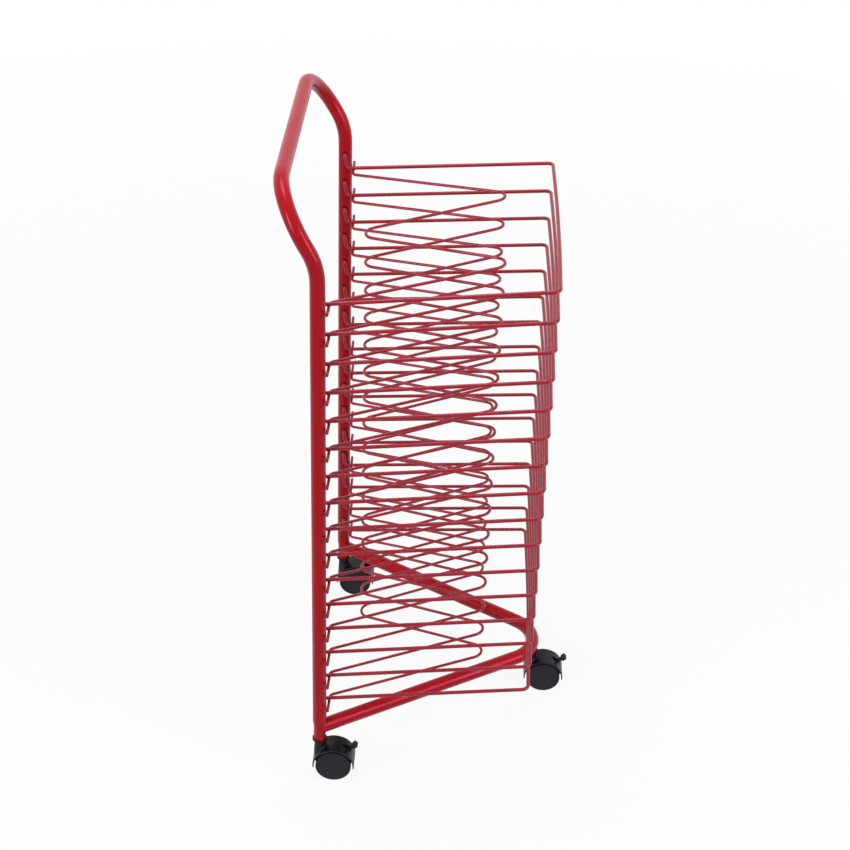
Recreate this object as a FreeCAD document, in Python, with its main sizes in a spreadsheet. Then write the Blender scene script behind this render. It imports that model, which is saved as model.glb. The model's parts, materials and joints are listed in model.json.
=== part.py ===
import FreeCAD, Part
import Sketcher
import math
import os
import types

# Art drying rack: one bent tube makes both uprights and the handle, sixteen wire shelves hinge in it,
# and a V-shaped base tube carries it on three twin-wheel castors.
# +X points from the uprights to the shelves' free front, +Y to the rack's right, +Z up, and the origin
# is on the floor under the middle of the whole rack.

os.makedirs("parts", exist_ok=True)
doc = FreeCAD.newDocument("DryingRack")
sheet = doc.addObject("Spreadsheet::Sheet", "Sizes")

# Driving dimensions, in millimetres, except the angles in degrees and the count.
DRIVING = {
    # uprights and handle
    "tube_diameter": 19.0,
    "tube_wall": 1.0,
    "upright_spacing": 422.0,
    "upright_above_shelves": 14.1,
    "handle_bend_radius": 88.0,
    "handle_slope": 29.2,
    "handle_arm": 5.0,
    "handle_corner_radius": 70.0,
    # shelves
    "shelf_count": 16,
    "shelf_pitch": 41.5,
    "lowest_pin_height": 145.5,
    "shelf_tilt": 5.1,
    "shelf_depth": 287.0,
    "shelf_front_width": 376.0,
    "shelf_corner_radius": 9.0,
    "front_bow": 3.4,
    "front_bow_radius": 7000.0,
    "frame_wire": 5.0,
    "side_gap": 0.8,
    "pin_drop": 20.0,
    "pin_clearance": 0.9,
    "hinge_hole_rise": 0.6,
    "pin_depth": 4.5,
    "pin_bend_radius": 3.3,
    "arm_slant": 2.0,
    "arm_bend_radius": 5.0,
    # zigzag support wire under each shelf
    "support_wire": 4.0,
    "weld_gap": 0.05,
    "stop_gap": 0.7,
    "stop_rise": 2.7,
    "stop_bend_radius": 12.0,
    "support_back_half_width": 186.5,
    "support_back_radius": 8.0,
    "peak_depth": 247.5,
    "peak_half_width": 98.6,
    "peak_radius": 15.5,
    "valley_depth": 14.5,
    "valley_radius": 17.0,
    # base
    "base_tube": 20.0,
    "base_wall": 1.2,
    "base_height": 84.5,
    "base_reach": 300.0,
    "base_bend_radius": 50.0,
    "cope_gap": 0.1,
    "seat_gap": 0.3,
    "stub_clearance": 0.1,
    "stub_wall": 1.2,
    "stub_foot": 64.5,
    "stub_insertion": 36.0,
    "front_stub_rise": 3.0,
    # castors
    "wheel_diameter": 50.0,
    "wheel_width": 13.5,
    "wheel_chamfer": 1.5,
    "wheel_dome": 0.5,
    "wheel_bore_depth": 10.0,
    "wheel_gap": 0.5,
    "castor_trail": 20.0,
    "hood_gap": 1.7,
    "hood_wall": 2.6,
    "hood_skirt": 3.0,
    "hood_round": 2.0,
    "web_thickness": 6.0,
    "boss_diameter": 17.0,
    "axle_diameter": 5.9,
    "axle_end_gap": 0.4,
    "running_clearance": 0.08,
    "stem_diameter": 10.0,
    "stem_in_boss": 10.0,
    "stem_in_stub": 23.5,
    "stem_chamfer": 1.0,
    "insert_flange": 2.0,
    "insert_flange_diameter": 20.6,
    "brake_angle": 44.0,
    "brake_pivot": 19.0,
    "brake_pin": 4.0,
    "brake_tail": 2.5,
    "brake_arm_width": 3.4,
    "brake_arm_thickness": 3.5,
    "brake_slot_gap": 0.3,
    "brake_swing_room": 3.4,
    "brake_tab_length": 8.0,
    "brake_tab_width": 12.0,
    "brake_tab_thickness": 3.8,
    "brake_tab_round": 1.5,
    "brake_tab_gap": 7.5,
}


class Size:
    """A length: its number, and the sheet expression that the number comes from."""

    def __init__(self, number, text):
        self.number = number
        self.text = text

    def __float__(self):
        return self.number

    def joined(self, sign, other, number):
        text = other.text if isinstance(other, Size) else str(other)
        return Size(number, "(" + self.text + " " + sign + " " + text + ")")

    def __add__(self, other):
        return self.joined("+", other, self.number + float(other))

    def __sub__(self, other):
        return self.joined("-", other, self.number - float(other))

    def __mul__(self, other):
        return self.joined("*", other, self.number * float(other))

    def __truediv__(self, other):
        return self.joined("/", other, self.number / float(other))

    def __neg__(self):
        return Size(-self.number, "(0 - " + self.text + ")")

    def __radd__(self, other):
        return self + other

    def __rsub__(self, other):
        return -self + other


def fill_sheet():
    """Write the driving dimensions into the sheet and return them as one set of sizes."""
    sizes = types.SimpleNamespace()
    for row, (alias, value) in enumerate(DRIVING.items(), start=1):
        sheet.set("A%d" % row, alias)
        sheet.set("B%d" % row, str(value))
        sheet.setAlias("B%d" % row, alias)
        setattr(sizes, alias, Size(float(value), "Sizes." + alias))
    doc.recompute()
    return sizes


# Helpers -----------------------------------------------------------------------------------------

def bind(thing, **lengths):
    """Give properties their sizes, bound to the sheet."""
    for name, value in lengths.items():
        setattr(thing, name, float(value))
        thing.setExpression(name, value.text)
    return thing


def place(thing, x, y, z, rotation=FreeCAD.Rotation()):
    """Put a thing at a place, bound to the sheet wherever the place is a Size."""
    thing.Placement = FreeCAD.Placement(FreeCAD.Vector(float(x), float(y), float(z)), rotation)
    for axis, value in zip("xyz", (x, y, z)):
        if isinstance(value, Size):
            thing.setExpression(".Placement.Base." + axis, value.text)
    return thing


def turn_to(direction):
    """The rotation that takes +Z to a direction."""
    return FreeCAD.Rotation(FreeCAD.Vector(0, 0, 1), FreeCAD.Vector(*direction))


def box(name, length, width, height, x, y, z, rotation=FreeCAD.Rotation()):
    thing = bind(doc.addObject("Part::Box", name), Length=length, Width=width, Height=height)
    return place(thing, x, y, z, rotation)


def cylinder(name, radius, height, x, y, z, direction=(0, 0, 1)):
    thing = bind(doc.addObject("Part::Cylinder", name), Radius=radius, Height=height)
    return place(thing, x, y, z, turn_to(direction))


def cut(name, base, tool):
    thing = doc.addObject("Part::Cut", name)
    thing.Base = base
    thing.Tool = tool
    return thing


def fused(name, things):
    thing = doc.addObject("Part::MultiFuse", name)
    thing.Shapes = things
    return thing


def bent_path(name, corners, radii):
    """A wire of straight runs through the corners, joined by tangent arcs of the given radii."""
    edges = []
    start = corners[0]
    for before, corner, after, radius in zip(corners, corners[1:], corners[2:], radii):
        back = (before - corner).normalize()
        ahead = (after - corner).normalize()
        half_angle = back.getAngle(ahead) / 2
        setback = radius / math.tan(half_angle)
        middle_way = (back + ahead).normalize()
        middle = corner + middle_way * (radius / math.sin(half_angle) - radius)
        arc_start = corner + back * setback
        arc_end = corner + ahead * setback
        edges.append(Part.LineSegment(start, arc_start).toShape())
        edges.append(Part.Arc(arc_start, middle, arc_end).toShape())
        start = arc_end
    edges.append(Part.LineSegment(start, corners[-1]).toShape())
    path = doc.addObject("Part::Feature", name)
    path.Shape = Part.Wire(edges)
    return path


def swept_rod(name, path, diameter):
    """A round rod of the given diameter along a path."""
    section = bind(doc.addObject("Part::Circle", name + "_section"), Radius=diameter / 2)
    first = path.Shape.Edges[0]
    section.Placement = FreeCAD.Placement(first.valueAt(first.FirstParameter),
                                          turn_to(first.tangentAt(first.FirstParameter)))
    rod = doc.addObject("Part::Sweep", name)
    rod.Sections = [section]
    rod.Spine = (path, ["Edge%d" % number for number in range(1, len(path.Shape.Edges) + 1)])
    rod.Solid = True
    return rod


def turned_body(name, outline):
    """A PartDesign body turned about its own X axis, from corners given as (along, radius)."""
    body = doc.addObject("PartDesign::Body", name)
    sketch = body.newObject("Sketcher::SketchObject", name + "_outline")
    plane = [item for item in body.Origin.OriginFeatures if item.Role == "XY_Plane"][0]
    sketch.AttachmentSupport = [(plane, "")]
    sketch.MapMode = "FlatFace"
    points = [FreeCAD.Vector(float(along), float(radius), 0) for along, radius in outline]
    count = len(points)
    for number in range(count):
        sketch.addGeometry(Part.LineSegment(points[number], points[(number + 1) % count]), False)
    for number in range(count):
        sketch.addConstraint(Sketcher.Constraint("Coincident", number, 2, (number + 1) % count, 1))
    for number, (along, radius) in enumerate(outline):
        pin_coordinate(sketch, number, "DistanceX", along, -2)
        pin_coordinate(sketch, number, "DistanceY", radius, -1)
    turned = body.newObject("PartDesign::Revolution", name + "_turned")
    turned.Profile = sketch
    turned.ReferenceAxis = (sketch, ["H_Axis"])
    turned.Angle = 360.0
    body.Tip = turned
    return body


def pin_coordinate(sketch, line, kind, value, zero_axis):
    """Fix one coordinate of a line's start: on the axis where it is 0, else at a bound distance."""
    if not isinstance(value, Size):
        sketch.addConstraint(Sketcher.Constraint("PointOnObject", line, 1, zero_axis))
        return
    index = sketch.addConstraint(Sketcher.Constraint(kind, -1, 1, line, 1, value.number))
    sketch.setExpression("Constraints[%d]" % index, value.text)


# Uprights and handle -----------------------------------------------------------------------------

def make_frame_tube():
    """One tube: up the left side, back and over as the handle, and down the right side.

    Its two inner faces carry a row of hinge holes, one pair for each shelf.
    """
    slope = math.radians(float(size.handle_slope))
    bend = float(size.handle_bend_radius)
    x = float(x_upright)
    side = float(half_spacing)
    bend_height = float(pin_height(shelf_numbers[-1]) + size.upright_above_shelves)
    bend_height = bend_height + bend * math.tan(slope / 2)
    bar_height = bend_height + slanted_length() * math.cos(slope)
    half = [FreeCAD.Vector(x, -side, float(upright_foot)),
            FreeCAD.Vector(x, -side, bend_height),
            FreeCAD.Vector(x - handle_setback(), -side, bar_height)]
    corners = mirrored_corners(half)
    corner = float(size.handle_corner_radius)
    path = bent_path("frame_path", corners, [bend, corner, corner, bend])
    outside = swept_rod("frame_outside", path, size.tube_diameter)
    bore = swept_rod("frame_bore", path, tube_bore)
    hollow = cut("frame_hollow", outside, bore)
    holes = doc.addObject("Part::Compound", "hinge_holes")
    hole_radius = size.frame_wire / 2 + size.pin_clearance
    holes.Links = [cylinder("hinge_hole_%02d" % number, hole_radius, size.upright_spacing,
                            x_upright, -half_spacing, pin_height(number) + size.hinge_hole_rise, (0, 1, 0))
                   for number in shelf_numbers]
    return cut("frame_tube", hollow, holes)


# Shelves -----------------------------------------------------------------------------------------

def shelf_point(depth, side, height):
    """A point given in a shelf's own tilted plane, measured from its hinge axis."""
    tilt = math.radians(float(size.shelf_tilt))
    depth = float(depth)
    height = float(height)
    return FreeCAD.Vector(float(x_upright) + depth * math.cos(tilt) - height * math.sin(tilt),
                          float(side),
                          depth * math.sin(tilt) + height * math.cos(tilt))


def mirrored_corners(half):
    """The corners of one side, then the same corners mirrored to the other side."""
    return half + [FreeCAD.Vector(point.x, -point.y, point.z) for point in reversed(half)]


def make_frame_wire_path():
    """Hinge pin, arm down from it, side run, and the slightly bowed front, the same on both sides."""
    half = [shelf_point(0, -pin_end, 0),
            shelf_point(0, -side_back, 0),
            shelf_point(size.arm_slant, -side_back, -size.pin_drop),
            shelf_point(size.shelf_depth, -size.shelf_front_width / 2, -size.pin_drop)]
    bow = [shelf_point(size.shelf_depth + size.front_bow, 0, -size.pin_drop)]
    other_half = [FreeCAD.Vector(point.x, -point.y, point.z) for point in reversed(half)]
    radii = [float(size.pin_bend_radius), float(size.arm_bend_radius), float(size.shelf_corner_radius)]
    return bent_path("frame_wire_path", half + bow + other_half,
                     radii + [float(size.front_bow_radius)] + radii[::-1])


def make_support_wire_path():
    """An M under the frame wire, whose two ends rise across the uprights' fronts as the shelf's stops."""
    drop = -size.pin_drop - (size.frame_wire + size.support_wire) / 2 - size.weld_gap
    tilt = math.radians(float(size.shelf_tilt))
    front_of_upright = size.tube_diameter / 2 + size.support_wire / 2 + size.stop_gap
    stop_depth = (float(front_of_upright) + float(drop) * math.sin(tilt)) / math.cos(tilt)
    past_weld = side_back + (size.frame_wire + size.support_wire) / 2
    half = [shelf_point(stop_depth, -half_spacing - front_of_upright, drop + size.stop_rise),
            shelf_point(stop_depth, -past_weld, drop),
            shelf_point(stop_depth, -size.support_back_half_width, drop),
            shelf_point(size.peak_depth, -size.peak_half_width, drop)]
    valley = [shelf_point(size.valley_depth, 0, drop)]
    other_half = [FreeCAD.Vector(point.x, -point.y, point.z) for point in reversed(half)]
    radii = [float(size.stop_bend_radius), float(size.support_back_radius), float(size.peak_radius)]
    return bent_path("support_wire_path", half + valley + other_half,
                     radii + [float(size.valley_radius)] + radii[::-1])


def make_shelves():
    """Sixteen equal shelves, each a frame wire and the support wire welded under it."""
    frame_path = make_frame_wire_path()
    support_path = make_support_wire_path()
    made = []
    for number in shelf_numbers:
        for kind, path, wire in (("frame_wire", frame_path, size.frame_wire),
                                 ("support_wire", support_path, size.support_wire)):
            rod = swept_rod("shelf_%02d_%s" % (number, kind), path, wire)
            made.append(place(rod, 0, 0, pin_height(number)))
    return made


# Base --------------------------------------------------------------------------------------------

def make_base():
    """A V of tube whose legs end at two stubs under the uprights, with a third stub in its apex."""
    reach = float(size.base_reach)
    bend = float(size.base_bend_radius)
    half = float(half_spacing)
    to_centre = math.atan2(half, reach - bend)
    leg_angle = to_centre - math.asin(bend / math.hypot(half, reach - bend))
    apex = float(x_upright) + half / math.tan(leg_angle)
    height = float(size.base_height)
    corners = [FreeCAD.Vector(float(x_upright), -half, height),
               FreeCAD.Vector(apex, 0, height),
               FreeCAD.Vector(float(x_upright), half, height)]
    path = bent_path("base_path", corners, [bend])
    hollow = cut("base_hollow", swept_rod("base_outside", path, size.base_tube),
                 swept_rod("base_bore", path, size.base_tube - size.base_wall * 2))
    stubs = (("left", x_upright, -half_spacing, stub_top),
             ("right", x_upright, half_spacing, stub_top),
             ("front", x_front_castor, 0, size.base_height + size.front_stub_rise))
    copes = doc.addObject("Part::Compound", "base_copes")
    copes.Links = [cylinder("base_cope_" + name, stub_radius + size.cope_gap, top + size.cope_gap, x, y, 0)
                   for name, x, y, top in stubs]
    return [cut("base_tube", hollow, copes)] + [make_stub(*stub) for stub in stubs]


def make_stub(name, x, y, top):
    """A short upright tube that is welded to the base tube and takes a castor in its foot."""
    outside = cylinder("stub_outside_" + name, stub_radius, top - size.stub_foot, x, y, size.stub_foot)
    bore = cylinder("stub_bore_" + name, stub_radius - size.stub_wall, top + size.cope_gap, x, y, 0)
    return cut("base_stub_" + name, outside, bore)


# Castors -----------------------------------------------------------------------------------------

def make_insert(name, x, y, stem_top):
    """A flanged plastic sleeve in the stub's foot, which holds the castor's stem."""
    sleeve_radius = stub_radius - size.stub_wall - size.stub_clearance
    bore = size.stem_diameter / 2 + size.running_clearance
    top = stem_top - size.stub_foot
    outline = [(-size.insert_flange, bore),
               (top, bore),
               (top, sleeve_radius),
               (0, sleeve_radius),
               (0, size.insert_flange_diameter / 2),
               (-size.insert_flange, size.insert_flange_diameter / 2)]
    return place(turned_body(name, outline), x, y, size.stub_foot, along_z)


def make_stem(name, x, y, stem_top):
    """The steel stem: its lower end turns in the hood's boss."""
    foot = boss_top - size.stem_in_boss
    radius = size.stem_diameter / 2
    outline = [(0, 0),
               (stem_top - foot, 0),
               (stem_top - foot, radius - size.stem_chamfer),
               (stem_top - foot - size.stem_chamfer, radius),
               (0, radius)]
    return place(turned_body(name, outline), x, y, foot, along_z)


def make_wheel(name, x, y, direction):
    """A closed, slightly domed wheel with a blind bore that opens towards the hood's web."""
    radius = size.wheel_diameter / 2
    inside = size.web_thickness / 2 + size.wheel_gap
    outside = inside + size.wheel_width
    bore = size.axle_diameter / 2 + size.running_clearance
    outline = [(inside, bore),
               (inside + size.wheel_bore_depth, bore),
               (inside + size.wheel_bore_depth, 0),
               (outside + size.wheel_dome, 0),
               (outside, radius - size.wheel_chamfer * 2),
               (outside - size.wheel_chamfer, radius),
               (inside + size.wheel_chamfer, radius),
               (inside, radius - size.wheel_chamfer)]
    turn = FreeCAD.Rotation(FreeCAD.Vector(1, 0, 0), FreeCAD.Vector(0, direction, 0))
    return place(turned_body(name, outline), x, y, size.wheel_diameter / 2, turn)


def brake_box(name, start, length, width, low, thickness, x, y):
    """A box in the brake's own directions: out from the axle, across, and square to both."""
    angle = math.radians(float(size.brake_angle))
    out = FreeCAD.Vector(math.cos(angle), 0, math.sin(angle))
    square = FreeCAD.Vector(-math.sin(angle), 0, math.cos(angle))
    corner = FreeCAD.Vector(float(x), float(y - width / 2), float(size.wheel_diameter / 2))
    corner = corner + out * float(start) + square * float(low)
    thing = bind(doc.addObject("Part::Box", name), Length=length, Width=width, Height=thickness)
    tilt = FreeCAD.Rotation(FreeCAD.Vector(0, 1, 0), -float(size.brake_angle))
    thing.Placement = FreeCAD.Placement(corner, tilt)
    return thing


def brake_pin(name, radius, width, x, y):
    """A cylinder across the castor at the brake's pivot."""
    angle = math.radians(float(size.brake_angle))
    pin_x = float(x) + float(size.brake_pivot) * math.cos(angle)
    pin_z = float(size.wheel_diameter) / 2 + float(size.brake_pivot) * math.sin(angle)
    return cylinder(name, radius, width, pin_x, y - width / 2, pin_z, (0, 1, 0))


def rounded_shell(name, shell, y):
    """The hood's outside with the edge around each of its two flat sides rounded."""
    shell.Refine = True
    doc.recompute()
    edge_round = float(size.hood_round)
    half_width = float(hood_width) / 2
    foot = float(size.wheel_diameter / 2 - size.hood_skirt)
    tolerance = 0.01
    edges = []
    for number, edge in enumerate(shell.Shape.Edges, start=1):
        span = edge.BoundBox
        on_side = span.YLength < tolerance and abs(abs(span.YMin - float(y)) - half_width) < tolerance
        above_foot = span.ZMax > foot + tolerance
        if on_side and above_foot:
            edges.append((number, edge_round, edge_round))
    rounded = doc.addObject("Part::Fillet", name + "_rounded")
    rounded.Base = shell
    rounded.Edges = edges
    return rounded


def make_hood(name, x, y, axle_x):
    """The hood over both wheels, its middle web with the axle bore, and the boss for the stem."""
    axle_z = size.wheel_diameter / 2
    inner_radius = axle_z + size.hood_gap
    outer_radius = inner_radius + size.hood_wall
    dome = bind(doc.addObject("Part::Cylinder", name + "_dome"), Radius=outer_radius, Height=hood_width)
    dome.Angle = 180.0
    upper_half = FreeCAD.Rotation(FreeCAD.Vector(0, 1, 1), 180)
    place(dome, axle_x, y - hood_width / 2, axle_z, upper_half)
    skirt = box(name + "_skirt", outer_radius * 2, hood_width, size.hood_skirt,
                axle_x - outer_radius, y - hood_width / 2, axle_z - size.hood_skirt)
    shell = rounded_shell(name, fused(name + "_shell", [dome, skirt]), y)
    boss = cylinder(name + "_boss", size.boss_diameter / 2, boss_top - axle_z, x, y, axle_z)
    solid = fused(name + "_solid", [shell, boss])

    tools = []
    side_room = (hood_width - size.web_thickness) / 2
    for side, low in (("left", y - hood_width / 2), ("right", y + size.web_thickness / 2)):
        tools.append(cylinder(name + "_room_" + side, inner_radius, side_room,
                              axle_x, low, axle_z, (0, 1, 0)))
        tools.append(box(name + "_mouth_" + side, inner_radius * 2, side_room, axle_z,
                         axle_x - inner_radius, low, 0))
    tools.append(cylinder(name + "_stem_bore", size.stem_diameter / 2 + size.running_clearance,
                          size.stem_in_boss * 2, x, y, boss_top - size.stem_in_boss))
    tools.append(cylinder(name + "_axle_bore", size.axle_diameter / 2 + size.running_clearance,
                          size.web_thickness * 2, axle_x, y - size.web_thickness, axle_z, (0, 1, 0)))
    slot_width = size.brake_arm_width + size.brake_slot_gap * 2
    slot_start = size.brake_pivot - size.brake_tail - size.brake_slot_gap * 3
    slot_low = -size.brake_arm_thickness / 2 - size.brake_swing_room
    slot_thickness = size.brake_arm_thickness + size.brake_swing_room + size.brake_slot_gap * 2
    tools.append(brake_box(name + "_slot", slot_start, outer_radius - slot_start + size.brake_tab_gap,
                           slot_width, slot_low, slot_thickness, axle_x, y))
    tools.append(brake_pin(name + "_brake_bore", size.brake_pin / 2 + size.running_clearance,
                           size.web_thickness * 2, axle_x, y))
    return cut(name, solid, fused(name + "_cuts", tools))


def make_brake(name, y, axle_x):
    """A rocker on a pin in the web, with a tab that stands out through the hood."""
    outer_radius = size.wheel_diameter / 2 + size.hood_gap + size.hood_wall
    tail = size.brake_pivot - size.brake_tail
    tab_start = outer_radius + size.brake_tab_gap
    arm = brake_box(name + "_arm", tail, tab_start - tail + size.brake_tab_length / 2, size.brake_arm_width,
                    -size.brake_arm_thickness / 2, size.brake_arm_thickness, axle_x, y)
    tab = brake_box(name + "_tab", tab_start, size.brake_tab_length, size.brake_tab_width,
                    -size.brake_tab_thickness / 2, size.brake_tab_thickness, axle_x, y)
    doc.recompute()
    rounded = doc.addObject("Part::Fillet", name + "_tab_rounded")
    rounded.Base = tab
    edge_round = float(size.brake_tab_round)
    rounded.Edges = [(number, edge_round, edge_round) for number in range(1, len(tab.Shape.Edges) + 1)]
    pin = brake_pin(name + "_pin", size.brake_pin / 2, size.web_thickness - size.brake_slot_gap,
                    axle_x, y)
    return fused(name, [arm, rounded, pin])


def make_castor(name, x, y):
    """One swivel castor with its stem at (x, y): the wheels trail towards +X."""
    axle_x = x + size.castor_trail
    stem_top = size.stub_foot + size.stem_in_stub
    wheel_inside = size.web_thickness / 2 + size.wheel_gap
    axle_half = wheel_inside + size.wheel_bore_depth - size.axle_end_gap
    return [make_insert(name + "_insert", x, y, stem_top),
            make_stem(name + "_stem", x, y, stem_top),
            make_hood(name + "_hood", x, y, axle_x),
            make_wheel(name + "_wheel_left", axle_x, y, -1),
            make_wheel(name + "_wheel_right", axle_x, y, 1),
            cylinder(name + "_axle", size.axle_diameter / 2, axle_half * 2, axle_x, y - axle_half,
                     size.wheel_diameter / 2, (0, 1, 0)),
            make_brake(name + "_brake", y, axle_x)]


def slanted_length():
    """The handle's slanted run from bend to corner, measured between the two corners of its path."""
    half_slope = math.radians(float(size.handle_slope)) / 2
    return (float(size.handle_bend_radius) * math.tan(half_slope) + float(size.handle_arm)
            + float(size.handle_corner_radius))


def handle_setback():
    """How far behind the uprights the handle's bar lies."""
    return slanted_length() * math.sin(math.radians(float(size.handle_slope)))


def brake_reach():
    """How far the brake tab stands out in front of the axle."""
    outer_radius = size.wheel_diameter / 2 + size.hood_gap + size.hood_wall
    edge_round = float(size.brake_tab_round)
    out = float(outer_radius + size.brake_tab_gap + size.brake_tab_length) - edge_round
    up = float(size.brake_tab_thickness) / 2 - edge_round
    angle = math.radians(float(size.brake_angle))
    return out * math.cos(angle) + up * math.sin(angle) + edge_round


def pin_height(number):
    """The height of a shelf's hinge axis: shelf 1 is the lowest."""
    return size.lowest_pin_height + size.shelf_pitch * (number - 1)


def write_parts(nodes):
    """Check every object and every node's solid, then write one file for each node."""
    doc.recompute()
    for thing in doc.Objects:
        faults = [state for state in thing.State if state in ("Invalid", "Error")]
        if faults:
            raise RuntimeError("%s is %s" % (thing.Name, faults))
    for node in nodes:
        shape = node.Shape
        if shape.isNull() or not shape.isValid() or not shape.Solids:
            raise RuntimeError("%s has no valid solid" % node.Name)
        node.Label = node.Name
        shape.exportStep("parts/%s.step" % node.Name)
        print("%-28s %d solid(s) %10.1f mm3" % (node.Name, len(shape.Solids), shape.Volume))


size = fill_sheet()
along_z = FreeCAD.Rotation(FreeCAD.Vector(1, 0, 0), FreeCAD.Vector(0, 0, 1))
shelf_numbers = range(1, int(DRIVING["shelf_count"]) + 1)

half_spacing = size.upright_spacing / 2
tube_bore = size.tube_diameter - size.tube_wall * 2
stub_radius = tube_bore / 2 - size.stub_clearance
upright_foot = size.base_height + size.base_tube / 2 + size.seat_gap
stub_top = upright_foot + size.stub_insertion
side_back = half_spacing - size.tube_diameter / 2 - size.side_gap - size.frame_wire / 2
pin_end = half_spacing - tube_bore / 2 + size.pin_depth
boss_top = size.stub_foot - size.insert_flange - size.seat_gap
hood_width = size.web_thickness + (size.wheel_gap + size.wheel_width + size.wheel_dome) * 2

front_reach = size.base_reach + size.castor_trail + brake_reach()
back_reach = size.tube_diameter / 2 + handle_setback()
x_upright = -(front_reach - back_reach) / 2
x_front_castor = x_upright + size.base_reach

nodes = [make_frame_tube()]
nodes += make_base()
nodes += make_shelves()
nodes += make_castor("castor_left", x_upright, -half_spacing)
nodes += make_castor("castor_right", x_upright, half_spacing)
nodes += make_castor("castor_front", x_front_castor, 0)
write_parts(nodes)
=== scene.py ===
import json
import math

import bmesh
import bpy
from mathutils import Matrix, Vector


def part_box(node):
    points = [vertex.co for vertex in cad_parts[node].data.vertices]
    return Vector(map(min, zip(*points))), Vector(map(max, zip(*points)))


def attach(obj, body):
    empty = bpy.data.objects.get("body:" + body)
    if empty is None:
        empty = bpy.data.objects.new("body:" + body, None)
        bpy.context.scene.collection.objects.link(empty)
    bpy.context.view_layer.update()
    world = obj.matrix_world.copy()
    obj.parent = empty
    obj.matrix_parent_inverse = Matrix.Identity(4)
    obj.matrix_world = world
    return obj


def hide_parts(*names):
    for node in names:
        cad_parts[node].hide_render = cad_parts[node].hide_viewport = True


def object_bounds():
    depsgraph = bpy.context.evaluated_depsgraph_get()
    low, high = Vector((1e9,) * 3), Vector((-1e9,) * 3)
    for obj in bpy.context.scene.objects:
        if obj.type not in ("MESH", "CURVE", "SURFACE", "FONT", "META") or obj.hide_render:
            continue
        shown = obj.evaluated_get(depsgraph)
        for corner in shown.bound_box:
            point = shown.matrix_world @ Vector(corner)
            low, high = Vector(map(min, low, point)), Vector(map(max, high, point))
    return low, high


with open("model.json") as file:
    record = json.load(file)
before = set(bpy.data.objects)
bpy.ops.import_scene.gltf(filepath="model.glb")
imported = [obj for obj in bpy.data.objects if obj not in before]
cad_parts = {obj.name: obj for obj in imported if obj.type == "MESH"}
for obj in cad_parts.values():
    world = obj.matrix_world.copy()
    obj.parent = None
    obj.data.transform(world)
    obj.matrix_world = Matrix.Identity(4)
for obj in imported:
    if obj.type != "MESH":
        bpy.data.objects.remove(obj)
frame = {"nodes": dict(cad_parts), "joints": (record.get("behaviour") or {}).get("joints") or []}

nodes = frame["nodes"]
cad_low, cad_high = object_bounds()

# Camera ------------------------------------------------------------------------------------------
# A short telephoto lens at eye height, off the rack's left side, tilted down to take in the whole
# rack from handle to castors.

sensor_width_mm = 36.0
focal_length_mm = 71.77
camera_place = Vector((0.0199, -1.9748, 1.7207))
camera_yaw = 0.020
camera_pitch_down = 0.569
camera_roll = 0.035


def add_object(name, data):
    """Put a new object into the scene."""
    thing = bpy.data.objects.new(name, data)
    bpy.context.scene.collection.objects.link(thing)
    return thing


lens = bpy.data.cameras.new("camera")
lens.sensor_width = sensor_width_mm
lens.sensor_fit = "HORIZONTAL"
lens.lens = focal_length_mm
camera = add_object("camera", lens)
camera.matrix_world = (Matrix.Translation(camera_place)
                       @ Matrix.Rotation(camera_yaw, 4, "Z")
                       @ Matrix.Rotation(math.pi / 2 - camera_pitch_down, 4, "X")
                       @ Matrix.Rotation(camera_roll, 4, "Z"))
bpy.context.scene.camera = camera
bpy.context.scene.view_settings.view_transform = "Standard"

# Studio ------------------------------------------------------------------------------------------
# A pale floor that fades into a white surround, with one large soft lamp above the rack, one to the
# camera's left and one to its right. The surround itself gives the fill light.

plain_white = (1.0, 1.0, 1.0, 1.0)
surround_fill = 0.50
floor_tone = 0.72
floor_lift = 0.90
floor_fade_start = 0.6
floor_fade_end = 3.0
floor_half_width = 20.0
floor_height = -0.0005


def link(tree, source, target):
    """Join an output socket to an input socket."""
    tree.links.new(source, target)


def seen_directly(tree):
    """1 where the camera, a reflection or a clear body looks at a surface, and 0 for fill light."""
    path = tree.nodes.new("ShaderNodeLightPath")
    seen = path.outputs["Is Camera Ray"]
    for ray in ("Is Glossy Ray", "Is Transmission Ray"):
        either = tree.nodes.new("ShaderNodeMath")
        either.operation = "MAXIMUM"
        link(tree, seen, either.inputs[0])
        link(tree, path.outputs[ray], either.inputs[1])
        seen = either.outputs[0]
    return seen


def mixed(tree, share, first, second):
    """A mix of two shaders: all the first where the share is 0, and all the second where it is 1."""
    mix = tree.nodes.new("ShaderNodeMixShader")
    link(tree, share, mix.inputs["Fac"])
    link(tree, first, mix.inputs[1])
    link(tree, second, mix.inputs[2])
    return mix.outputs[0]


def white_background(tree, strength):
    """A plain white background, where a strength of 1 is white."""
    background = tree.nodes.new("ShaderNodeBackground")
    background.inputs["Color"].default_value = plain_white
    background.inputs["Strength"].default_value = strength
    return background.outputs[0]


def make_surround():
    """White where it is looked at, and a dimmer white as fill light."""
    world = bpy.data.worlds.new("surround")
    world.use_nodes = True
    tree = world.node_tree
    tree.nodes.clear()
    fill = white_background(tree, surround_fill)
    white = white_background(tree, 1.0)
    output = tree.nodes.new("ShaderNodeOutputWorld")
    link(tree, mixed(tree, seen_directly(tree), fill, white), output.inputs["Surface"])
    return world


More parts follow.
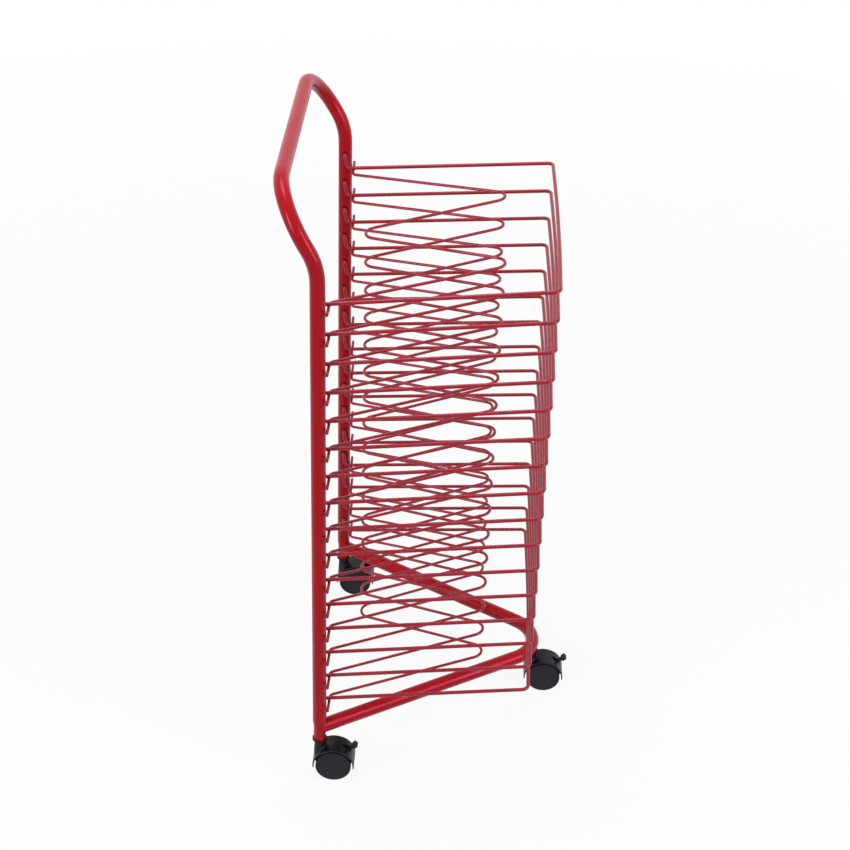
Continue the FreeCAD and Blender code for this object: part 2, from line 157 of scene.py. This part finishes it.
def make_floor_material():
    """A pale matt floor that keeps the rack's shadow and fades to the surround's white further out."""
    material = bpy.data.materials.new("floor")
    material.use_nodes = True
    tree = material.node_tree
    tree.nodes.clear()
    matt = tree.nodes.new("ShaderNodeBsdfDiffuse")
    matt.inputs["Color"].default_value = (floor_tone, floor_tone, floor_tone, 1.0)
    lift = tree.nodes.new("ShaderNodeEmission")
    lift.inputs["Color"].default_value = plain_white
    link(tree, seen_directly(tree), lift.inputs["Strength"])
    where = tree.nodes.new("ShaderNodeTexCoord")
    away = tree.nodes.new("ShaderNodeVectorMath")
    away.operation = "LENGTH"
    link(tree, where.outputs["Object"], away.inputs[0])
    fade = tree.nodes.new("ShaderNodeMapRange")
    fade.inputs["From Min"].default_value = floor_fade_start
    fade.inputs["From Max"].default_value = floor_fade_end
    fade.inputs["To Min"].default_value = floor_lift
    fade.inputs["To Max"].default_value = 1.0
    link(tree, away.outputs["Value"], fade.inputs["Value"])
    surface = mixed(tree, fade.outputs["Result"], matt.outputs[0], lift.outputs[0])
    output = tree.nodes.new("ShaderNodeOutputMaterial")
    link(tree, surface, output.inputs["Surface"])
    return material


def add_soft_lamp(name, place, width, height, power):
    """A rectangular soft lamp that faces the middle of the rack."""
    data = bpy.data.lights.new(name, "AREA")
    data.shape = "RECTANGLE"
    data.size = width
    data.size_y = height
    data.energy = power
    lamp = add_object(name, data)
    lamp.location = place
    towards = (cad_low + cad_high) / 2 - Vector(place)
    lamp.rotation_euler = towards.to_track_quat("-Z", "Y").to_euler()


bpy.context.scene.world = make_surround()
floor_mesh = bmesh.new()
bmesh.ops.create_grid(floor_mesh, x_segments=1, y_segments=1, size=floor_half_width)
floor_data = bpy.data.meshes.new("floor")
floor_mesh.to_mesh(floor_data)
floor_mesh.free()
floor = add_object("floor", floor_data)
floor.location.z = floor_height
floor_data.materials.append(make_floor_material())

add_soft_lamp("top_lamp", place=(-0.3, 0.2, 3.0), width=1.0, height=1.0, power=25.0)
add_soft_lamp("left_lamp", place=(-1.8, -2.1, 1.5), width=0.8, height=1.4, power=39.5)
add_soft_lamp("right_lamp", place=(2.1, -1.3, 1.4), width=0.9, height=1.6, power=36.0)

# Base --------------------------------------------------------------------------------------------
# One round steel tube, bent to a V with a rounded apex, and three short stubs welded to it. All of
# it gets one glossy red powder coat after welding, so that the welds show as soft filled corners.

coat_red = (0.380, 0.0052, 0.0040)
coat_red_thin = (0.340, 0.0044, 0.0034)
coat_gloss = 0.5
coat_gloss_tint = (1.0, 0.20, 0.42)
coat_roughness = (0.20, 0.32)
coat_sheen = 0.16
coat_sheen_spread = 0.35
coat_sheen_tint = (0.60, 0.05, 0.50)
coat_patch_scale = 16.0
coat_patch_detail = 3.0
coat_patch_low = 0.35
coat_patch_high = 0.65
coat_peel_scale = 620.0
coat_peel_detail = 2.0
coat_peel_depth = 0.00003
base_tube_radius = 0.010
base_tube_height = 0.0845
base_bend_radius = 0.050
base_weld_length = 0.030
base_weld_bottom = 0.070
base_weld_top = 0.0970
base_weld_turn = math.radians(30)
base_weld_steps = 24
tube_segments = 48
sideways = Matrix.Rotation(math.pi / 2, 4, "X")
merge_distance = 0.000001
crisp_corner = math.radians(40)
smooth_factor = 0.5
weld_voxel = 0.0005
weld_softening = 24


def noise_through(tree, scale, detail):
    """A cloud of noise all through the piece, from 0 to 1."""
    where = tree.nodes.new("ShaderNodeTexCoord")
    noise = tree.nodes.new("ShaderNodeTexNoise")
    noise.inputs["Scale"].default_value = scale
    noise.inputs["Detail"].default_value = detail
    link(tree, where.outputs["Object"], noise.inputs["Vector"])
    return noise.outputs["Fac"]


def vary_colour(tree, shader, noise, first, second):
    """Let the colour drift between two tones."""
    colour = tree.nodes.new("ShaderNodeMix")
    colour.data_type = "RGBA"
    # A mix node's colours are its inputs 6 and 7, and its output 2.
    colour.inputs[6].default_value = (*first, 1.0)
    colour.inputs[7].default_value = (*second, 1.0)
    link(tree, noise, colour.inputs["Factor"])
    link(tree, colour.outputs[2], shader.inputs["Base Color"])


def vary_roughness(tree, shader, noise, low, high, roughness):
    """Let the roughness drift between two values while the noise goes from low to high."""
    drift = tree.nodes.new("ShaderNodeMapRange")
    drift.inputs["From Min"].default_value = low
    drift.inputs["From Max"].default_value = high
    drift.inputs["To Min"].default_value = roughness[0]
    drift.inputs["To Max"].default_value = roughness[1]
    link(tree, noise, drift.inputs["Value"])
    link(tree, drift.outputs["Result"], shader.inputs["Roughness"])


def raise_grain(tree, shader, noise, depth):
    """Raise the surface a little where the noise is high."""
    bump = tree.nodes.new("ShaderNodeBump")
    bump.inputs["Strength"].default_value = 1.0
    bump.inputs["Distance"].default_value = depth
    link(tree, noise, bump.inputs["Height"])
    link(tree, bump.outputs["Normal"], shader.inputs["Normal"])


def new_finish(name):
    """A new material, with its node tree and its surface shader."""
    material = bpy.data.materials.new(name)
    material.use_nodes = True
    tree = material.node_tree
    return material, tree, tree.nodes["Principled BSDF"]


def make_powder_coat(name, thin_colour, thick_colour, gloss, gloss_tint, roughness, peel_depth):
    """Glossy red powder coat: slightly uneven in thickness, with a fine orange-peel skin."""
    material, tree, shader = new_finish(name)
    shader.inputs["Specular IOR Level"].default_value = gloss
    shader.inputs["Specular Tint"].default_value = (*gloss_tint, 1.0)
    shader.inputs["Sheen Weight"].default_value = coat_sheen
    shader.inputs["Sheen Roughness"].default_value = coat_sheen_spread
    shader.inputs["Sheen Tint"].default_value = (*coat_sheen_tint, 1.0)
    patches = noise_through(tree, coat_patch_scale, coat_patch_detail)
    vary_colour(tree, shader, patches, thin_colour, thick_colour)
    vary_roughness(tree, shader, patches, coat_patch_low, coat_patch_high, roughness)
    raise_grain(tree, shader, noise_through(tree, coat_peel_scale, coat_peel_detail), peel_depth)
    return material


def give_material(thing, material):
    """Leave a piece with this one material."""
    thing.data.materials.clear()
    thing.data.materials.append(material)


def middle_of(node):
    """The middle of a construction node's box."""
    low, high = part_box(node)
    return (Vector(low) + Vector(high)) / 2


def close_shape(shape):
    """Merge the doubles of a shape and turn all its faces outwards."""
    bmesh.ops.remove_doubles(shape, verts=shape.verts[:], dist=merge_distance)
    bmesh.ops.recalc_face_normals(shape, faces=shape.faces[:])


def close_ends(shape):
    """Cap the open ends of a swept shape."""
    bmesh.ops.holes_fill(shape, edges=[edge for edge in shape.edges if edge.is_boundary], sides=0)
    close_shape(shape)
    return shape


def mesh_from(name, shape):
    """Turn a finished shape into a mesh with smooth faces and crisp corners."""
    data = bpy.data.meshes.new(name)
    shape.to_mesh(data)
    shape.free()
    data.shade_smooth()
    data.set_sharp_from_angle(angle=crisp_corner)
    return data


def remesh(voxel):
    """The step that joins what overlaps into one skin of small even faces."""
    return "REMESH", {"mode": "VOXEL", "voxel_size": voxel}


def smooth(rounds):
    """The step that rounds off corners, a little more with each round."""
    return "SMOOTH", {"factor": smooth_factor, "iterations": rounds}


def worked(name, shape, steps):
    """A mesh made from a shape by steps of remeshing, smoothing or cutting."""
    source = add_object(name + "_source", mesh_from(name + "_source", shape))
    for kind, settings in steps:
        modifier = source.modifiers.new(kind, kind)
        for setting, value in settings.items():
            setattr(modifier, setting, value)
    evaluated = source.evaluated_get(bpy.context.evaluated_depsgraph_get())
    data = bpy.data.meshes.new_from_object(evaluated)
    bpy.data.objects.remove(source)
    data.name = name
    data.shade_smooth()
    return data


def add_piece(name, data, material, body, stands_for=()):
    """Put a mesh into the scene as a piece that rides on a body."""
    piece = add_object(name, data)
    give_material(piece, material)
    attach(piece, body)
    for node in stands_for:
        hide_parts(node)


def add_bar(shape, start, direction, length, radius):
    """Add a straight round bar from its start, along a direction."""
    turn = direction.to_track_quat("Z", "Y").to_matrix().to_4x4()
    bmesh.ops.create_cone(shape, cap_ends=True, segments=tube_segments, radius1=radius, radius2=radius,
                          depth=length, matrix=Matrix.Translation(start + direction * length / 2) @ turn)


def weld_stub(stub, leg, top):
    """The weld of a stub and the base tube: a length of both, joined, with the corner between filled."""
    low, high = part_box("base_stub_" + stub)
    foot = middle_of("base_stub_" + stub)
    foot.z = base_weld_bottom
    add_bar(leg, foot, Vector((0, 0, 1)), top - base_weld_bottom, (high[0] - low[0]) / 2)
    close_shape(leg)
    name = "base_weld_" + stub
    weld = worked(name, leg, (remesh(weld_voxel), smooth(weld_softening)))
    add_piece(name, weld, tube_coat, "frame")


tube_coat = make_powder_coat("tube_powder_coat", coat_red_thin, coat_red, coat_gloss, coat_gloss_tint,
                             coat_roughness, coat_peel_depth)
for name in ("base_tube", "base_stub_left", "base_stub_right", "base_stub_front"):
    give_material(nodes[name], tube_coat)

apex = middle_of("base_stub_front")
apex.z = base_tube_height
bend_middle = Vector((apex.x - base_bend_radius, 0, base_tube_height))
for side in ("left", "right"):
    corner = middle_of("base_stub_" + side)
    corner.z = base_tube_height
    reach = bend_middle - corner
    lean = math.asin(base_bend_radius / reach.length)
    along = reach.normalized()
    along.rotate(Matrix.Rotation(-lean if side == "left" else lean, 3, "Z"))
    leg = bmesh.new()
    add_bar(leg, corner, along, base_weld_length, base_tube_radius)
    weld_stub(side, leg, base_weld_top)

front_leg = bmesh.new()
bmesh.ops.create_circle(front_leg, cap_ends=False, segments=tube_segments, radius=base_tube_radius,
                        matrix=Matrix.Translation(apex) @ sideways)
bmesh.ops.rotate(front_leg, verts=front_leg.verts[:], cent=bend_middle,
                 matrix=Matrix.Rotation(-base_weld_turn, 3, "Z"))
bmesh.ops.spin(front_leg, geom=front_leg.verts[:] + front_leg.edges[:], axis=(0, 0, 1), cent=bend_middle,
               angle=base_weld_turn * 2, steps=base_weld_steps, use_merge=False)
weld_stub("front", close_ends(front_leg), base_tube_height)

# Uprights and handle -----------------------------------------------------------------------------
# One long steel tube: both uprights and the push handle in a single piece, bent four times, with a
# row of punched holes in each upright for the shelves' hinge pins. Powder coated with the base.

give_material(nodes["frame_tube"], tube_coat)

# Shelves -----------------------------------------------------------------------------------------
# Sixteen wire shelves. Each is a thick frame wire with a thinner support wire, bent to an M and spot
# welded under it at both sides, and then powder coated in a slightly deeper red than the tubes.

wire_red = (0.290, 0.0045, 0.0064)
wire_red_thin = (0.255, 0.0038, 0.0054)
wire_gloss = 0.75
wire_gloss_tint = (1.0, 0.42, 0.58)
wire_roughness = (0.18, 0.30)
wire_peel_depth = 0.00002
shelf_count = 16
shelf_tilt = math.radians(5.1)
nugget_forward = 0.0102
nugget_below_pin = 0.02253
nugget_side = 0.1979
nugget_size = (0.0048, 0.0050, 0.0026)
nugget_subdivisions = 3
joint_places = {joint["name"]: Vector(joint["pos_m"]) for joint in frame["joints"]}


def add_shelf_welds(number):
    """The two spot welds where one shelf's support wire crosses under its side wires."""
    shelf = "shelf_%02d" % number
    pin = joint_places[shelf + "_hinge"]
    tilt = Matrix.Rotation(-shelf_tilt, 4, "Y")
    welds = bmesh.new()
    for side in (-nugget_side, nugget_side):
        spot = pin + tilt @ Vector((nugget_forward, side, -nugget_below_pin))
        place = Matrix.Translation(spot) @ tilt @ Matrix.Diagonal((*nugget_size, 1))
        bmesh.ops.create_icosphere(welds, subdivisions=nugget_subdivisions, radius=0.5, matrix=place)
    name = shelf + "_welds"
    add_piece(name, mesh_from(name, welds), wire_coat, shelf)


wire_coat = make_powder_coat("wire_powder_coat", wire_red_thin, wire_red, wire_gloss, wire_gloss_tint,
                             wire_roughness, wire_peel_depth)
for name, node in nodes.items():
    if name.startswith("shelf_"):
        give_material(node, wire_coat)
for number in range(1, shelf_count + 1):
    add_shelf_welds(number)

# Castor fittings ---------------------------------------------------------------------------------
# Each castor swivels on a steel stem, which a flanged sleeve of black nylon holds in the stub's foot,
# and its wheels run on a steel axle. Stem and axle are zinc plated.

nylon_gloss = 0.24
nylon_gloss_tint = (0.92, 0.84, 1.0)
nylon_dark_share = (0.75, 0.72, 0.90)
nylon_light_share = (1.3, 1.25, 1.55)
nylon_cloud_scale = 45.0
nylon_cloud_detail = 4.0
nylon_cloud_low = 0.3
nylon_cloud_high = 0.7
nylon_grain_detail = 2.0
hood_tone = 0.0055
hood_roughness = (0.30, 0.42)
hood_grain_scale = 1500.0
hood_grain_depth = 0.00003
zinc_colour = (0.62, 0.63, 0.65)
zinc_mark_scale = 300.0
zinc_mark_detail = 2.0
zinc_roughness = (0.2, 0.45)
castors = ("castor_left", "castor_right", "castor_front")


def make_nylon(name, tone, roughness, grain_scale, grain_depth):
    """Moulded black nylon with a fine spark-eroded grain and slightly uneven gloss."""
    material, tree, shader = new_finish(name)
    shader.inputs["Specular IOR Level"].default_value = nylon_gloss
    shader.inputs["Specular Tint"].default_value = (*nylon_gloss_tint, 1.0)
    cloud = noise_through(tree, nylon_cloud_scale, nylon_cloud_detail)
    dark = [tone * share for share in nylon_dark_share]
    light = [tone * share for share in nylon_light_share]
    vary_colour(tree, shader, cloud, dark, light)
    vary_roughness(tree, shader, cloud, nylon_cloud_low, nylon_cloud_high, roughness)
    raise_grain(tree, shader, noise_through(tree, grain_scale, nylon_grain_detail), grain_depth)
    return material


def make_zinc():
    """Bright zinc plating with faint drawing marks."""
    material, tree, shader = new_finish("zinc_plating")
    shader.inputs["Metallic"].default_value = 1.0
    shader.inputs["Base Color"].default_value = (*zinc_colour, 1.0)
    marks = noise_through(tree, zinc_mark_scale, zinc_mark_detail)
    vary_roughness(tree, shader, marks, 0.0, 1.0, zinc_roughness)
    return material


nylon = make_nylon("hood_nylon", hood_tone, hood_roughness, hood_grain_scale, hood_grain_depth)
zinc = make_zinc()
for castor in castors:
    give_material(nodes[castor + "_insert"], nylon)
    give_material(nodes[castor + "_stem"], zinc)
    give_material(nodes[castor + "_axle"], zinc)

# Castor hoods ------------------------------------------------------------------------------------
# One black nylon moulding each: a half-round wall over both wheels with a short skirt at each end, a
# web between the wheels that holds the axle, and a boss that fairs down from the stem into the wall.
# Places are from the axle. The brake and its slots are laid out level, and are then turned up.

hood_inner_radius = 0.0275
hood_outer_radius = 0.0293
hood_wall_middle = (hood_inner_radius + hood_outer_radius) / 2
hood_half_width = 0.0171
hood_shoulder = 0.0016
hood_lip = 0.0005
hood_skirt = 0.0030
shoulder_steps = 6
lip_steps = 2
wall_steps_per_radian = 18
wall_steps_at_least = 6
web_half_width = 0.0030
web_segments = 128
boss_top_radius = 0.0071
boss_foot_radius = 0.0092
boss_foot_height = 0.0
boss_fillet = ((0.0162, 0.0), (0.0162, 0.0060), (0.0148, 0.0140), (0.0124, 0.0200), (0.0100, 0.0250),
               (0.0083, 0.0285))
boss_top_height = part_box("castor_left_hood")[1][2] - middle_of("castor_left_axle").z
boss_segments = 64
castor_trail = 0.020
same_place = 0.00001
wheel_room_radius = 0.0270
wheel_room_end = 0.030
wheel_room_segments = 128
web_slot = ((0.0156, -0.0020, -0.0052), (0.0275, 0.0020, 0.0024))
wall_slot = ((0.0215, -0.0042, -0.0046), (0.0320, 0.0042, 0.0099))
brake_angle = math.radians(44)
hood_voxel = 0.0005
hood_softening = 5


def swept_section(inner, outer, half_width, shoulder, lip, start, turn):
    """A wall section between two radii, rounded at its outer corners and turned about the axle."""
    wall = bmesh.new()
    middle = (inner + outer) / 2
    place = Matrix.Translation((middle, 0, 0)) @ Matrix.Diagonal((outer - inner, half_width * 2, 1, 1))
    bmesh.ops.create_grid(wall, x_segments=1, y_segments=1, size=0.5, matrix=place)
    outside = [vert for vert in wall.verts if vert.co.x > middle]
    bmesh.ops.bevel(wall, geom=outside, offset=shoulder, segments=shoulder_steps, profile=0.5,
                    affect="VERTICES", material=-1)
    inside = [vert for vert in wall.verts if vert.co.x < inner + lip / 2]
    bmesh.ops.bevel(wall, geom=inside, offset=lip, segments=lip_steps, profile=0.5,
                    affect="VERTICES", material=-1)
    bmesh.ops.delete(wall, geom=wall.faces[:], context="FACES_ONLY")
    bmesh.ops.rotate(wall, verts=wall.verts[:], cent=(0, 0, 0), matrix=Matrix.Rotation(-start, 3, "Y"))
    steps = max(wall_steps_at_least, round(turn * wall_steps_per_radian))
    bmesh.ops.spin(wall, geom=wall.verts[:] + wall.edges[:], axis=(0, 1, 0), cent=(0, 0, 0),
                   angle=-turn, steps=steps, use_merge=False)
    return wall


def add_block(shape, corners):
    """Add a plain block between two opposite corners."""
    low, high = (Vector(corner) for corner in corners)
    bmesh.ops.create_cube(shape, size=1.0, matrix=Matrix.Translation((low + high) / 2)
                          @ Matrix.Diagonal((*(high - low), 1)))


def add_cross_bar(shape, middle, length, radius, segments):
    """Add a round bar that lies across, in line with the axle."""
    bmesh.ops.create_cone(shape, cap_ends=True, segments=segments, radius1=radius, radius2=radius,
                          depth=length, matrix=Matrix.Translation(middle) @ sideways)


def add_shape(target, source):
    """Move everything in one shape into another."""
    data = bpy.data.meshes.new("carried")
    source.to_mesh(data)
    source.free()
    target.from_mesh(data)
    bpy.data.meshes.remove(data)


def new_corners(grown):
    """The vertices among what an extrusion has made."""
    return [item for item in grown["geom"] if isinstance(item, bmesh.types.BMVert)]


def add_hood_wall(hood):
    """The half-round wall over the wheels, with its two straight skirts."""
    wall = swept_section(hood_inner_radius, hood_outer_radius, hood_half_width, hood_shoulder, hood_lip,
                         0.0, math.pi)
    rims = [edge for edge in wall.edges if edge.is_boundary]
    feet = new_corners(bmesh.ops.extrude_edge_only(wall, edges=rims))
    bmesh.ops.translate(wall, verts=feet, vec=(0, 0, -hood_skirt))
    add_shape(hood, close_ends(wall))


def add_hood_web(hood):
    """The web between the wheels: a disc cut off level with the feet of the skirts."""
    web = bmesh.new()
    bmesh.ops.create_circle(web, cap_ends=True, segments=web_segments, radius=hood_wall_middle,
                            matrix=Matrix.Translation((0, -web_half_width, 0)) @ sideways)
    bmesh.ops.bisect_plane(web, geom=web.verts[:] + web.edges[:] + web.faces[:],
                           plane_co=(0, 0, -hood_skirt), plane_no=(0, 0, -1), clear_outer=True)
    front = new_corners(bmesh.ops.extrude_face_region(web, geom=web.faces[:]))
    bmesh.ops.translate(web, verts=front, vec=(0, web_half_width * 2, 0))
    close_shape(web)
    add_shape(hood, web)


def add_hood_boss(hood):
    """The stem boss: a plain cone at the back, and faired into the wall at the front and the sides."""
    boss = bmesh.new()
    outline = ((0.0, boss_foot_height), *boss_fillet,
               (boss_top_radius, boss_top_height), (0.0, boss_top_height))
    corners = [boss.verts.new((radius, 0, height)) for radius, height in outline]
    runs = [boss.edges.new(pair) for pair in zip(corners, corners[1:])]
    bmesh.ops.spin(boss, geom=corners + runs, axis=(0, 0, 1), cent=(0, 0, 0), angle=math.tau,
                   steps=boss_segments, use_merge=True)
    close_shape(boss)
    for radius, height in outline[1:-1]:
        share = (height - boss_foot_height) / (boss_top_height - boss_foot_height)
        cone_radius = boss_foot_radius + (boss_top_radius - boss_foot_radius) * share
        back = [vert for vert in boss.verts if vert.co.x < 0 and abs(vert.co.z - height) < same_place]
        bmesh.ops.scale(boss, verts=back, vec=(cone_radius / radius, 1, 1))
    bmesh.ops.translate(boss, verts=boss.verts[:], vec=(-castor_trail, 0, 0))
    add_shape(hood, boss)


def turn_up(shape):
    """Turn what was laid out level up about the axle, to the brake's slope."""
    bmesh.ops.rotate(shape, verts=shape.verts[:], cent=(0, 0, 0),
                     matrix=Matrix.Rotation(-brake_angle, 3, "Y"))
    return shape


def make_brake_slot():
    """The opening for the brake: a narrow slot in the web, and a wider one in the wall for the rocker."""
    slot = bmesh.new()
    add_block(slot, web_slot)
    wide = bmesh.new()
    add_block(wide, wall_slot)
    add_shape(slot, wide)
    return turn_up(slot)


def make_wheel_room():
    """The room for the wheels, which is hollowed out of the boss at both sides of the web."""
    room = bmesh.new()
    for side in (-1, 1):
        add_cross_bar(room, (0, side * (web_half_width + wheel_room_end) / 2, 0),
                      wheel_room_end - web_half_width, wheel_room_radius, wheel_room_segments)
    return room


def cutter(name, shape):
    """An object to cut with, which is removed once it has been used."""
    return add_object(name, mesh_from(name, shape))


def cut_away(tool):
    """The step that cuts a tool's shape out of the mesh."""
    return "BOOLEAN", {"operation": "DIFFERENCE", "solver": "EXACT", "use_self": True, "object": tool}


def placed(data, name, place):
    """A copy of a mesh, moved to its place."""
    copy = data.copy()
    copy.name = name
    copy.transform(Matrix.Translation(place))
    return copy


hood_shape = bmesh.new()
add_hood_wall(hood_shape)
add_hood_web(hood_shape)
add_hood_boss(hood_shape)
wheel_room = cutter("wheel_room", make_wheel_room())
brake_slot = cutter("brake_slot", make_brake_slot())
hood_mesh = worked("hood", hood_shape, (
    cut_away(wheel_room), remesh(hood_voxel), smooth(hood_softening), cut_away(brake_slot)))
bpy.data.objects.remove(wheel_room)
bpy.data.objects.remove(brake_slot)

for castor in castors:
    moulding = castor + "_hood_moulding"
    add_piece(moulding, placed(hood_mesh, moulding, middle_of(castor + "_axle")), nylon,
              castor + "_swivel", (castor + "_hood",))

# Castor brakes -----------------------------------------------------------------------------------
# A nylon rocker on a pin in each hood's web: its arm stands out through the slot in the wall, and is
# pressed down or lifted by a ribbed finger tab at its end.

brake_pivot = 0.019
brake_arm = ((0.0165, -0.0017, -0.00175), (0.0280, 0.0017, 0.00175))
brake_pin_radius = 0.0020
brake_pin_length = 0.0057
brake_pin_segments = 24
brake_cap_inner_radius = 0.0262
brake_cap_outer_radius = 0.0284
brake_cap_half_width = 0.0033
brake_cap_shoulder = 0.0006
brake_cap_lip = 0.0002
brake_cap_start = math.radians(-2)
brake_cap_turn = math.radians(6)
brake_shank = ((0.0272, -0.0033, -0.0015), (0.0385, 0.0033, 0.0015))
brake_tab = ((0.0372, -0.0056, -0.0026), (0.0446, 0.0056, 0.0024))
brake_tab_corner = 0.0022
brake_tab_corner_steps = 5
brake_rib_radius = 0.0006
brake_rib_length = 0.0074
brake_rib_segments = 12
brake_rib_places = (0.0390, 0.0409, 0.0428)
brake_voxel = 0.0003
brake_softening = 3


def make_brake_shape():
    """The brake rocker: arm and pin in the web, a cap in the wall's opening, and a ribbed finger tab."""
    brake = bmesh.new()
    add_block(brake, brake_arm)
    add_cross_bar(brake, (brake_pivot, 0, 0), brake_pin_length, brake_pin_radius, brake_pin_segments)
    cap = swept_section(brake_cap_inner_radius, brake_cap_outer_radius, brake_cap_half_width,
                        brake_cap_shoulder, brake_cap_lip, brake_cap_start, brake_cap_turn)
    add_shape(brake, close_ends(cap))
    add_block(brake, brake_shank)

    tab = bmesh.new()
    add_block(tab, brake_tab)
    upright = [edge for edge in tab.edges if abs(edge.verts[0].co.z - edge.verts[1].co.z) > same_place]
    bmesh.ops.bevel(tab, geom=upright, offset=brake_tab_corner, segments=brake_tab_corner_steps,
                    profile=0.5, affect="EDGES", material=-1)
    add_shape(brake, tab)
    tab_top = brake_tab[1][2]
    for along in brake_rib_places:
        add_cross_bar(brake, (along, 0, tab_top), brake_rib_length, brake_rib_radius, brake_rib_segments)
    return turn_up(brake)


brake_mesh = worked("brake", make_brake_shape(), (remesh(brake_voxel), smooth(brake_softening)))

for castor in castors:
    rocker = castor + "_brake_rocker"
    add_piece(rocker, placed(brake_mesh, rocker, middle_of(castor + "_axle")), nylon,
              castor + "_brake", (castor + "_brake",))

# Castor wheels -----------------------------------------------------------------------------------
# Two closed nylon wheels on each axle, of a greyer and duller black than the hood. The outer face is
# slightly domed, with a shallow ring groove near its rim.

wheel_tone = 0.0100
wheel_roughness = (0.5, 0.62)
wheel_grain_scale = 1100.0
wheel_grain_depth = 0.00005
wheel_radius = 0.025
wheel_inside = 0.0035
wheel_outside = 0.0172
wheel_shoulder = 0.0010
wheel_segments = 96
wheel_bore_radius = 0.00303
wheel_bore_end = 0.0135
wheel_face = ((0.0, 0.0220), (-0.0004, 0.0217), (-0.0004, 0.0211), (0.0, 0.0208), (0.0004, 0.0120),
              (0.0005, 0.0))


def make_wheel_shape(side):
    """One wheel about the axle: blind bore, tread with rounded shoulders, and a grooved, domed face."""
    outline = ((wheel_bore_end, 0.0), (wheel_bore_end, wheel_bore_radius),
               (wheel_inside, wheel_bore_radius), (wheel_inside, wheel_radius),
               (wheel_outside, wheel_radius),
               *((wheel_outside + dome, radius) for dome, radius in wheel_face))
    wheel = bmesh.new()
    corners = [wheel.verts.new((0, side * along, radius)) for along, radius in outline]
    runs = [wheel.edges.new(pair) for pair in zip(corners, corners[1:])]
    bmesh.ops.spin(wheel, geom=corners + runs, axis=(0, 1, 0), cent=(0, 0, 0), angle=math.tau,
                   steps=wheel_segments, use_merge=True)
    close_shape(wheel)
    shoulders = [edge for edge in wheel.edges
                 if abs(edge.verts[0].co.y - edge.verts[1].co.y) < same_place
                 and all(math.hypot(*vert.co.xz) > wheel_radius - same_place for vert in edge.verts)]
    bmesh.ops.bevel(wheel, geom=shoulders, offset=wheel_shoulder, segments=shoulder_steps, profile=0.5,
                    affect="EDGES", material=-1)
    return wheel


wheel_nylon = make_nylon("wheel_nylon", wheel_tone, wheel_roughness, wheel_grain_scale,
                         wheel_grain_depth)
wheel_meshes = {"left": mesh_from("wheel_left", make_wheel_shape(-1)),
                "right": mesh_from("wheel_right", make_wheel_shape(1))}

for castor in castors:
    for side, wheel_mesh in wheel_meshes.items():
        wheel = castor + "_wheel_" + side
        moulding = wheel + "_moulding"
        add_piece(moulding, placed(wheel_mesh, moulding, middle_of(castor + "_axle")), wheel_nylon,
                  wheel, (wheel,))
